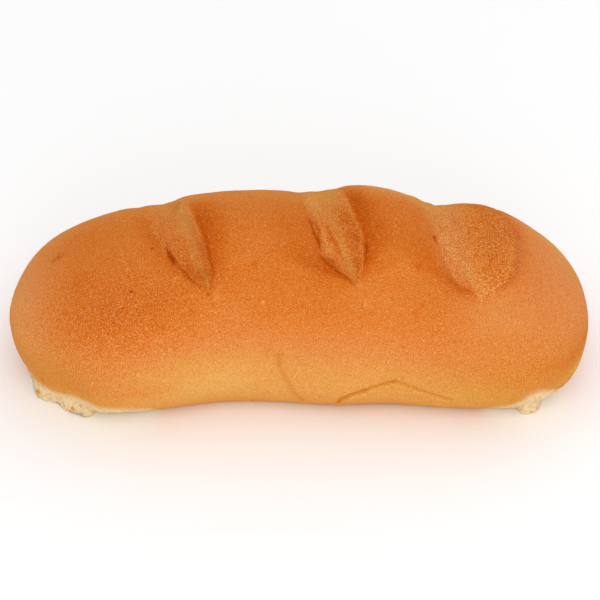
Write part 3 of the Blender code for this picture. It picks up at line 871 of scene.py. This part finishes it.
def add_node(tree, kind, settings=None, values=None, links=None, stops=None):
    """Add a shader node: settings are its own properties, values and links go to its sockets by
    name or number, and stops are the places and colours of a ramp."""
    node = tree.nodes.new("ShaderNode" + kind)
    for name, value in (settings or {}).items():
        setattr(node, name, value)
    for socket, value in (values or {}).items():
        node.inputs[socket].default_value = value
    for socket, source in (links or {}).items():
        tree.links.new(source, node.inputs[socket])
    if stops:
        node.color_ramp.elements.remove(node.color_ramp.elements[1])
    for number, (place, colour) in enumerate(stops or ()):
        stop = node.color_ramp.elements.new(place) if number else node.color_ramp.elements[0]
        stop.position = place
        stop.color = linear(colour) if isinstance(colour, str) else (colour, colour, colour, 1.0)
    return node


def calculate(tree, operation, values=None, links=None):
    """The result of a Math node."""
    return add_node(tree, "Math", {"operation": operation}, values, links).outputs[0]


def ramp(tree, factor, stops):
    """The colour or grey that a ramp gives for a factor."""
    return add_node(tree, "ValToRGB", links={"Fac": factor}, stops=stops).outputs["Color"]


def plain_shader(name, settings):
    """A new material and its shader, with the settings as values of the shader's sockets."""
    material = bpy.data.materials.new(name)
    material.use_nodes = True
    shader = material.node_tree.nodes["Principled BSDF"]
    for socket, value in settings.items():
        shader.inputs[socket].default_value = value
    return material, shader


# %% [markdown]
# ## Baked crust and torn crumb
#
# Crust is dough whose sugars and proteins browned. It is matte and never one flat colour: under a
# lens it is a net of tiny blisters and paler flecks, which are partly its own pale specks and partly
# painted glints of the blisters. The colour comes from a ramp over the browning, with fine mottling
# added before the ramp, so that the speckles move along the same colours. Tints are laid over it one
# after another, each where its own tone says: olive on the floors of the slashes, a painted sheen on
# the rims, tan and golden places, painted shade in the folds, grain, threads and fibres. The torn
# patches show the crumb.

# %% Crust material
CRUST_STOPS = (
    (0.0, "#E8B36C"), (0.16, "#DCA459"), (0.25, "#D9984C"), (0.34, "#D68F45"), (0.46, "#D48341"),
    (0.58, "#D37B36"), (0.70, "#CF7126"), (0.82, "#C96617"), (0.95, "#C05A0A"), (1.08, "#B64F04"),
    (1.25, "#9A3F02"),
)
DARKEST = 1.25  # browning at the end of the ramp
CRUMB_STOPS = ((0.22, "#BE8646"), (0.36, "#D9B27B"), (0.55, "#E4CDA4"))
# Size of the largest bumps, detail and roughness of each noise, on the roll and on a leaf's grid.
SKIN_NOISES = {
    "grain": (0.36 * MM, 1.0, 0.5),
    "mottle": (1.7 * MM, 2.0, 0.5),
    "blister": (0.8 * MM, 3.0, 0.6),
    "crumb_grain": (1.0 * MM, 4.0, 0.6),
}
LEAF_NOISES = {
    "thread": (0.6 * MM, 2.0, 0.5),
    "crack": (0.35 * MM, 2.0, 0.5),
}
# Noise, how much it varies the browning, and where: all over, or by one of the roll's tones.
VARIATIONS = (
    ("mottle", 0.16, None),
    ("thread", 0.8, "drawn"),
    ("blister", 1.1, "blistered"),
    ("crack", 1.6, "frayed"),
    ("crack", 1.8, "torn"),
)
# What it gives the eye, colour, blend, its noise and how the noise shows it, and where.
TINTS = (
    ("olive of thin dough", "#BE8434", "MIX", "thread", ((0.38, 1.0), (0.62, 0.35)), "stretched"),
    # The pale tint on the rims is painted sheen.
    ("painted sheen on the rims", "#F8B080", "MIX", "mottle", ((0.20, 0.27), (0.70, 0.15)), "painted_sheen"),
    ("tan beside the feet", "#F4FFD6", "MULTIPLY", "mottle", ((0.20, 1.0), (0.70, 0.8)), "tanned"),
    ("gold of the mounds", "#FFFFC4", "MULTIPLY", "mottle", ((0.20, 1.0), (0.70, 0.8)), "golden"),
    ("darker grain", "#F2DDAE", "MULTIPLY", "grain", ((0.30, 1.0), (0.50, 0.0)), None),
    # Paler grain: partly the crust's own pale specks, partly painted glints.
    ("paler grain with painted glints", "#FACD96", "MIX", "grain", ((0.50, 0.0), (0.74, 0.17)), "sound"),
    ("darker grain of opened dough", "#EDD296", "MULTIPLY", "grain", ((0.32, 1.0), (0.50, 0.0)), "opened"),
    ("paler grain with painted glints of opened dough", "#FACD96", "MIX", "grain", ((0.52, 0.0), (0.72, 0.22)), "opened"),
    ("shade in the folds", "#EBD8A0", "MULTIPLY", "mottle", ((0.20, 0.8), (0.60, 1.0)), "creased"),
    ("pale threads", "#EAAA6C", "MIX", "thread", ((0.56, 0.0), (0.72, 0.5)), "drawn"),
    ("pale fibres", "#F0A866", "MIX", "crack", ((0.54, 0.0), (0.66, 0.5)), "frayed"),
)
# Pale flecks: partly the crust's own pale specks, partly painted glints.
FLECK = {"colour": "#F4C48C", "spacing": 0.85 * MM, "dot": ((0.10, 1.0), (0.34, 0.0)),
         "chosen": ((0.60, 0.0), (0.80, 0.35))}
GRAIN_HEIGHT = 0.05 * MM
CRUST_GLOSS = {"Roughness": 0.7, "IOR": 1.4, "Specular IOR Level": 0.0}


def make_noises(tree):
    """The noises by name: those of the skin over Object coordinates, those of a leaf over its grid."""
    skin_place = add_node(tree, "TexCoord").outputs["Object"]
    leaf_place = add_node(tree, "Attribute", {"attribute_name": "leaf_grid"}).outputs["Vector"]
    noises = {}
    for kinds, place in ((SKIN_NOISES, skin_place), (LEAF_NOISES, leaf_place)):
        for name, (size, detail, roughness) in kinds.items():
            values = {"Scale": 1.0 / size, "Detail": detail, "Roughness": roughness}
            noises[name] = add_node(tree, "TexNoise", values=values, links={"Vector": place}).outputs["Fac"]
    return skin_place, noises


def shared(tree, amount, share):
    """An amount times the share, one of the roll's tones, or the amount itself where there is none."""
    return amount if share is None else calculate(tree, "MULTIPLY", links={0: amount, 1: share})


def crust_colour(tree, tones, noises):
    """Colour of the crust: browning varied by the noises, through the ramp, and then tinted."""
    level = tones["browning"]
    for noise, tone, where in VARIATIONS:
        centred = calculate(tree, "SUBTRACT", {1: 0.5}, {0: noises[noise]})
        amount = shared(tree, centred, tones.get(where))
        level = calculate(tree, "MULTIPLY_ADD", {1: tone}, {0: amount, 2: level})
    part = calculate(tree, "DIVIDE", {1: DARKEST}, {0: level})
    colour = ramp(tree, part, [(brownness / DARKEST, stop) for brownness, stop in CRUST_STOPS])
    for name, tint, blend, noise, shows, where in TINTS:
        share = shared(tree, ramp(tree, noises[noise], shows), tones.get(where))
        colour = add_node(tree, "MixRGB", {"blend_type": blend, "label": name}, {"Color2": linear(tint)},
                          {"Fac": share, "Color1": colour}).outputs[0]
    return colour


def flecked(tree, colour, skin_place):
    """Pale flecks, partly the crust's own pale specks and partly painted glints of its tiny blisters:
    round dots in some of the cells of a Voronoi pattern, chosen by its own colours.
    """
    cells = add_node(tree, "TexVoronoi", values={"Scale": 1.0 / FLECK["spacing"]},
                     links={"Vector": skin_place})
    dots = ramp(tree, cells.outputs["Distance"], FLECK["dot"])
    share = shared(tree, dots, ramp(tree, cells.outputs["Color"], FLECK["chosen"]))
    return add_node(tree, "MixRGB", values={"Color2": linear(FLECK["colour"])},
                    links={"Fac": share, "Color1": colour}).outputs[0]


def baked_crust():
    """Soft-baked crust with torn crumb in it, from the roll's tones and the noises."""
    material, shader = plain_shader("baked_crust", CRUST_GLOSS)
    tree = material.node_tree
    tones = {name: add_node(tree, "Attribute", {"attribute_name": name}).outputs["Fac"] for name in TONES}
    skin_place, noises = make_noises(tree)
    crust = flecked(tree, crust_colour(tree, tones, noises), skin_place)
    crumb_colour = ramp(tree, noises["crumb_grain"], CRUMB_STOPS)
    whole = add_node(tree, "MixRGB", links={"Fac": tones["crumb"], "Color1": crust, "Color2": crumb_colour})
    tree.links.new(whole.outputs[0], shader.inputs["Base Color"])
    bump = add_node(tree, "Bump", values={"Strength": 1.0, "Distance": GRAIN_HEIGHT},
                    links={"Height": noises["grain"]})
    tree.links.new(bump.outputs["Normal"], shader.inputs["Normal"])
    return material


roll.data.materials.append(baked_crust())
print("material:", roll.data.materials[0].name)

# %% [markdown]
# ## Loose crumbs
#
# Where the roll was pulled off its neighbours, a few grains of crumb still cling to the ragged
# edge: two toasted ones at the left foot and a pale one low on the right end. Each is a ball whose
# radius varies with noise. It clings to the nearest point of the skin, sunk about a third into it.

# %% Cling the crumbs
GRAIN_COLOURS = {"toasted_crumb": "#D6933C", "pale_crumb": "#E8CE96"}
GRAINS = (
    {"name": "left_crumb", "at": (-76.6, -19.6, 2.1), "radius": 0.65, "made_of": "toasted_crumb"},
    {"name": "lower_crumb", "at": (-66.1, -27.8, 1.8), "radius": 0.5, "made_of": "toasted_crumb"},
    {"name": "right_crumb", "at": (80.3, -21.6, 11.0), "radius": 0.65, "made_of": "pale_crumb"},
)
GRAIN_LIFT = 0.4  # share of its radius by which a grain's middle stands off the skin
GRAIN_RINGS = 9
GRAIN_ROWS = 16
GRAIN_LUMPS = {"size": 0.7 * MM, "height": 0.4, "seed": 91}  # their height is a share of the radius
GRAIN_ROUGHNESS = 0.8


def crumb_grain(centre, radius):
    """A lumpy ball as rings along X: centre + radius * (1 + share * noise) * direction."""
    tilt = np.linspace(np.pi, 0.0, GRAIN_RINGS + 2)[1:-1, None]
    spin = np.linspace(0.0, 2.0 * np.pi, GRAIN_ROWS, endpoint=False)[None, :]
    directions = np.array(np.broadcast_arrays(np.cos(tilt), np.sin(tilt) * np.sin(spin),
                                              np.sin(tilt) * np.cos(spin)))
    middle = centre[:, None, None]
    lumps = 1.0 + bumps(middle + radius * directions, GRAIN_LUMPS, layers=1)
    return middle + radius * lumps * directions


crumb_materials = {name: plain_shader(name, {"Base Color": linear(colour), "Roughness": GRAIN_ROUGHNESS})[0]
                   for name, colour in GRAIN_COLOURS.items()}
for row in GRAINS:
    radius = row["radius"] * MM
    distance = np.linalg.norm(skin - np.array(row["at"])[:, None, None] * MM, axis=0)
    nearest = np.unravel_index(np.argmin(distance), distance.shape)
    centre = (skin + GRAIN_LIFT * radius * normals)[(slice(None),) + nearest]
    ends = centre + radius * np.array([[-1.0, 0.0, 0.0], [1.0, 0.0, 0.0]])
    grain = put_in_scene(row["name"], closed_mesh(row["name"], crumb_grain(centre, radius), ends))
    grain.data.materials.append(crumb_materials[row["made_of"]])
    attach(grain, "root")
print("crumbs:", [row["name"] for row in GRAINS])

# %% [markdown]
# ## A pale studio
#
# The roll lies on a white board under broad, soft light from all round, with a little more from
# above and in front and a faint light behind, so that its shadows stay faint and its colours clear.
# The floor is stage: it isn't part of the roll.

# %% Floor
FLOOR_HALF = 3.0  # metres
BOARD_FINISH = {"Base Color": linear("#FFFFFF"), "Roughness": 0.9}

corner_signs = ((-1, -1), (1, -1), (1, 1), (-1, 1))
floor_mesh = bpy.data.meshes.new("pale_floor")
floor_mesh.from_pydata([(FLOOR_HALF * a, FLOOR_HALF * b, 0.0) for a, b in corner_signs], [], [(0, 1, 2, 3)])
floor = put_in_scene("pale_floor", floor_mesh)
floor.data.materials.append(plain_shader("matt_white_board", BOARD_FINISH)[0])
print("floor, metres wide:", 2.0 * FLOOR_HALF)

# %% Light
SOFTBOXES = (
    {"name": "key_softbox", "at": (0.12, -0.55, 0.80), "side": 0.6, "watts": 1.6},
    {"name": "front_softbox", "at": (0.10, -1.10, 0.28), "side": 0.7, "watts": 3.2},
    {"name": "back_softbox", "at": (0.30, 0.75, 0.60), "side": 0.7, "watts": 0.6},
)
ROLL_MIDDLE = Vector((0.0, 0.0, 0.02))
SURROUND = 0.82  # strength of the even white light from all round

world = bpy.data.worlds.new("white_studio")
world.use_nodes = True
background = world.node_tree.nodes["Background"]
background.inputs["Color"].default_value = linear("#FFFFFF")
background.inputs["Strength"].default_value = SURROUND
bpy.context.scene.world = world
for box in SOFTBOXES:
    lamp = bpy.data.lights.new(box["name"], "AREA")
    lamp.size = box["side"]
    lamp.energy = box["watts"]
    holder = put_in_scene(box["name"], lamp)
    holder.location = box["at"]
    holder.rotation_euler = (ROLL_MIDDLE - Vector(box["at"])).to_track_quat("-Z", "Y").to_euler()
print("lights:", [box["name"] for box in SOFTBOXES])

# %% [markdown]
# ## The camera
#
# It looks down at the long front from 38 degrees above the table, from far enough away that the
# roll hardly narrows towards its ends.

# %% Camera
CAMERA_ANGLE = math.radians(38.0)
CAMERA_DISTANCE = 850.0 * MM
CAMERA_TARGET = Vector((0.35 * MM, -0.33 * MM, 21.2 * MM))
CAMERA_LENS = 173.3  # millimetres, for a sensor 36 mm wide
NEAREST_SHOWN = 10.0 * MM

camera = put_in_scene("camera", bpy.data.cameras.new("camera"))
camera.data.lens = CAMERA_LENS
camera.data.clip_start = NEAREST_SHOWN
towards_camera = Vector((0.0, -math.cos(CAMERA_ANGLE), math.sin(CAMERA_ANGLE)))
camera.location = CAMERA_TARGET + CAMERA_DISTANCE * towards_camera
camera.rotation_euler = (math.pi / 2.0 - CAMERA_ANGLE, 0.0, 0.0)
bpy.context.scene.camera = camera
bpy.context.scene.view_settings.view_transform = "Standard"
print("camera, mm:", [round(1000.0 * place, 1) for place in camera.location])
